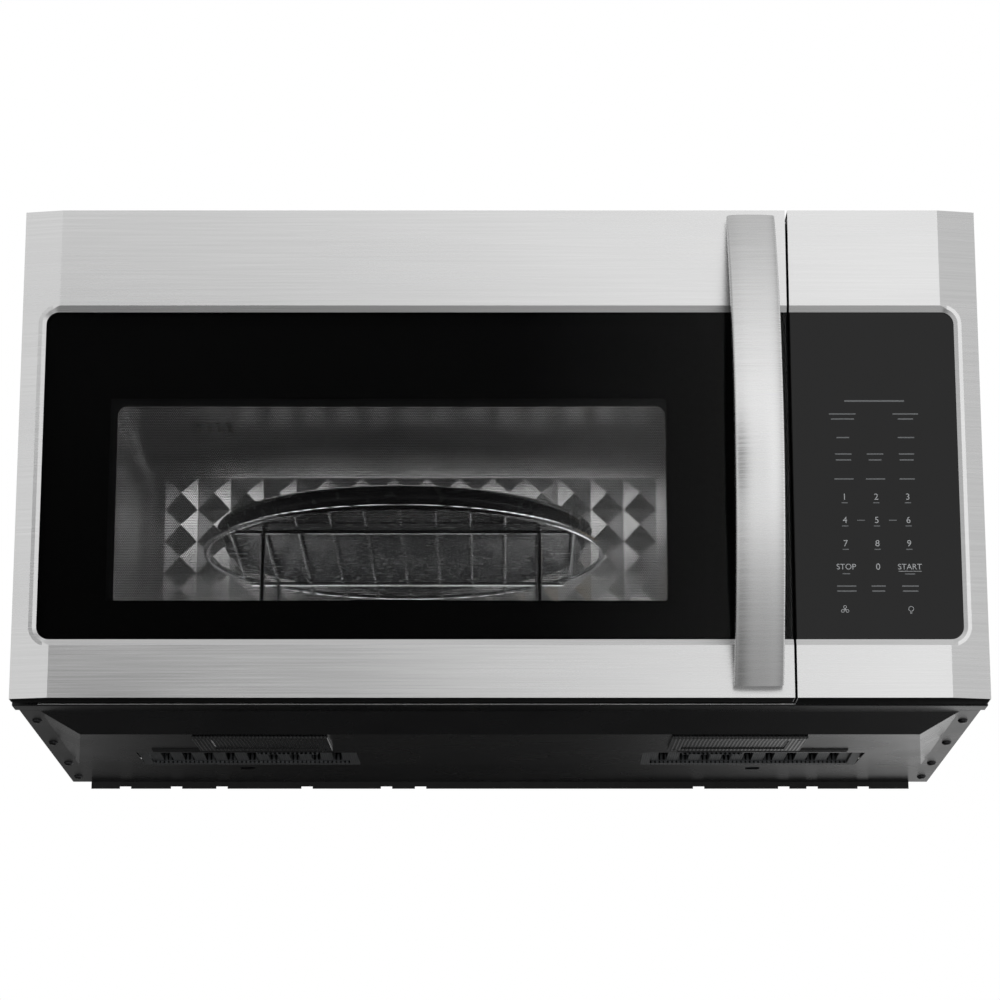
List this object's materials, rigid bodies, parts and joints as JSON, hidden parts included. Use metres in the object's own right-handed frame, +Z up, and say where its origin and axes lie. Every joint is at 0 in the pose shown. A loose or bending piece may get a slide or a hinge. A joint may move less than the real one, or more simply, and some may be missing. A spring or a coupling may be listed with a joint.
{
  "type": "over-the-range microwave oven",
  "caption": "Wall-hung convection microwave oven with a side-hinged glass door, bowed handle, touch control column, turntable, wire rack, and a vent with filters and lamps below.",
  "frame": {"origin": "on the wall plane, in the middle of the width, at the height of the case's bottom rim", "axes": "+X to the viewer's right, +Y towards the wall, +Z up; the door faces -Y"},
  "size_m": [0.759, 0.451, 0.4218],
  "materials": {
    "stainless": "brushed stainless steel",
    "cavity_steel": "polished stainless steel",
    "black_paint": "satin black paint on steel",
    "zinc_sheet": "bright zinc-coated steel",
    "black_glass": "black printed tempered glass",
    "clear_glass": "clear tempered glass",
    "black_plastic": "matt black plastic",
    "white_plastic": "white heat-proof plastic",
    "aluminium_mesh": "layered aluminium mesh",
    "carbon": "charcoal filter",
    "lens": "frosted glass lens in a black frame",
    "mica": "mica sheet",
    "chrome_wire": "plated steel wire",
    "dark_enamel": "dark non-stick coating",
    "copper_core": "varnished laminations and windings",
    "motor_steel": "pressed steel",
    "circuit": "green circuit board",
    "lamp_glass": "lamp glass and holder"
  },
  "bodies": {
    "case": {"outer_case": "black_paint", "back_panel": "zinc_sheet", "base_pan": "black_paint", "front_frame": "black_paint", "vent_grille": "black_plastic", "charcoal_filter": "carbon", "lamp_cover_left": "lens", "lamp_cover_right": "lens", "surface_lamps": "lamp_glass", "pan_screws": "motor_steel", "chassis_plate": "zinc_sheet", "cavity": "cavity_steel", "cavity_back_wall": "cavity_steel", "waveguide_cover": "mica", "cavity_lamp": "lamp_glass", "convection_housing": "zinc_sheet", "heater_ring": "motor_steel", "convection_motor": "motor_steel", "turntable_motor": "motor_steel", "magnetron": "zinc_sheet", "waveguide": "zinc_sheet", "hv_transformer": "copper_core", "hv_capacitor": "zinc_sheet", "cooling_fan_housing": "black_plastic", "blower_housing": "zinc_sheet", "blower_motor": "motor_steel", "latch_board": "black_plastic", "interlock_switches": "black_plastic", "control_frame": "stainless", "control_glass": "black_glass", "control_housing": "black_plastic", "control_board": "circuit", "display_module": "black_plastic", "upper_hinge": "motor_steel", "lower_hinge": "motor_steel", "cord_gland": "black_plastic", "cabinet_nuts": "motor_steel"},
    "door": {"door_skin": "stainless", "door_glass": "black_glass", "door_chassis": "black_paint", "window_mesh": "black_paint", "inner_glass": "clear_glass", "choke_cover": "black_plastic", "handle": "stainless", "handle_feet": "stainless", "handle_screws": "motor_steel"},
    "latch": {"latch_hooks": "black_plastic"},
    "turntable": {"turntable_coupler": "white_plastic", "glass_turntable": "clear_glass"},
    "ring": {"roller_ring": "black_plastic"},
    "roller_a": {"roller_a": "white_plastic"},
    "roller_b": {"roller_b": "white_plastic"},
    "roller_c": {"roller_c": "white_plastic"},
    "rack": {"rack": "chrome_wire"},
    "tray": {"crisper_tray": "dark_enamel"},
    "convection_wheel": {"convection_fan": "motor_steel"},
    "cooling_wheel": {"cooling_fan_wheel": "motor_steel"},
    "blower_rotor": {"blower_wheels": "motor_steel"},
    "filter_left": {"grease_filter_left": "aluminium_mesh"},
    "filter_right": {"grease_filter_right": "aluminium_mesh"}
  },
  "joints": [
    {"name": "door_hinge", "type": "hinge", "parent": "case", "child": "door", "pos_m": [-0.3695, -0.3775, 0.1985], "axis": [0, 0, -1], "range_deg": [0, 100]},
    {"name": "latch_slide", "type": "slide", "parent": "door", "child": "latch", "axis": [0, 0, 1], "range_m": [-0.005, 0.005], "stiffness_N_per_m": 900},
    {"name": "turntable_spin", "type": "hinge", "parent": "case", "child": "turntable", "pos_m": [-0.08, -0.19, 0.076], "axis": [0, 0, 1], "continuous": true},
    {"name": "ring_spin", "type": "hinge", "parent": "case", "child": "ring", "pos_m": [-0.08, -0.19, 0.06905], "axis": [0, 0, 1], "continuous": true},
    {"name": "roller_a_spin", "type": "hinge", "parent": "ring", "child": "roller_a", "pos_m": [-0.08, -0.078, 0.06905], "axis": [0, 1, 0], "continuous": true},
    {"name": "roller_b_spin", "type": "hinge", "parent": "ring", "child": "roller_b", "pos_m": [-0.177, -0.246, 0.06905], "axis": [-0.866, -0.5, 0], "continuous": true},
    {"name": "roller_c_spin", "type": "hinge", "parent": "ring", "child": "roller_c", "pos_m": [0.01699, -0.246, 0.06905], "axis": [0.866, -0.5, 0], "continuous": true},
    {"name": "rack_lift", "type": "slide", "parent": "turntable", "child": "rack", "axis": [0, 0, 1], "range_m": [0, 0.055]},
    {"name": "tray_lift", "type": "slide", "parent": "rack", "child": "tray", "axis": [0, 0, 1], "range_m": [0, 0.055]},
    {"name": "filter_left_slide", "type": "slide", "parent": "case", "child": "filter_left", "axis": [0, 0, -1], "range_m": [0, 0.03]},
    {"name": "filter_right_slide", "type": "slide", "parent": "case", "child": "filter_right", "axis": [0, 0, -1], "range_m": [0, 0.03]},
    {"name": "convection_spin", "type": "hinge", "parent": "case", "child": "convection_wheel", "pos_m": [-0.345, -0.19, 0.187], "axis": [1, 0, 0], "continuous": true},
    {"name": "cooling_spin", "type": "hinge", "parent": "case", "child": "cooling_wheel", "pos_m": [0.3, -0.045, 0.235], "axis": [0, 1, 0], "continuous": true},
    {"name": "blower_spin", "type": "hinge", "parent": "case", "child": "blower_rotor", "pos_m": [0, -0.08, 0.351], "axis": [1, 0, 0], "continuous": true}
  ],
  "couplings": [
    {"joint": "ring_spin", "follows": "turntable_spin", "ratio": 0.5},
    {"joint": "roller_a_spin", "follows": "turntable_spin", "ratio": -8.0576},
    {"joint": "roller_b_spin", "follows": "turntable_spin", "ratio": -8.0576},
    {"joint": "roller_c_spin", "follows": "turntable_spin", "ratio": -8.0576}
  ]
}
